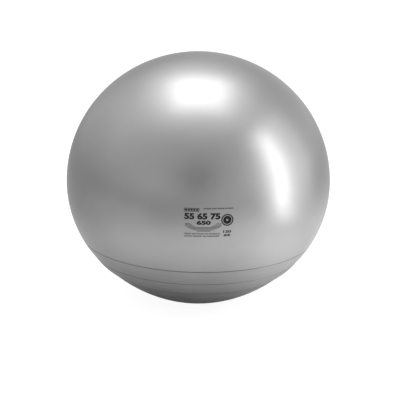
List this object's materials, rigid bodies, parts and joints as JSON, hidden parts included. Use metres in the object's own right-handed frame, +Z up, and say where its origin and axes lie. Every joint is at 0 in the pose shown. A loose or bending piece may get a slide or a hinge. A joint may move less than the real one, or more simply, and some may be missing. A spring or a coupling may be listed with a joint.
{
  "type": "exercise ball",
  "caption": "Inflated silver exercise ball with a stepped, weighted base that keeps it upright, a flat resting patch and a pull-out air plug on the back.",
  "frame": {"origin": "centre of the flat patch on the floor", "axes": "+Z up along the ball's axis, -Y towards the printed front, so that the valve is on the +Y side"},
  "size_m": [0.65, 0.65, 0.618],
  "materials": {
    "silver_vinyl": "satin, with a fine metallic pigment",
    "ballast_vinyl": "matt cast vinyl",
    "valve_vinyl": "smooth moulded",
    "plug_plastic": "smooth moulded"
  },
  "bodies": {
    "ball": {"ball_skin": "silver_vinyl", "base_layer_wide": "ballast_vinyl", "base_layer_middle": "ballast_vinyl", "base_layer_inner": "ballast_vinyl", "valve_seat": "valve_vinyl"},
    "plug": {"valve_plug": "plug_plastic"}
  },
  "joints": [
    {"name": "plug_pull", "type": "slide", "parent": "ball", "child": "plug", "axis": [0, 0.9209, 0.3898], "range_m": [0, 0.035]}
  ]
}
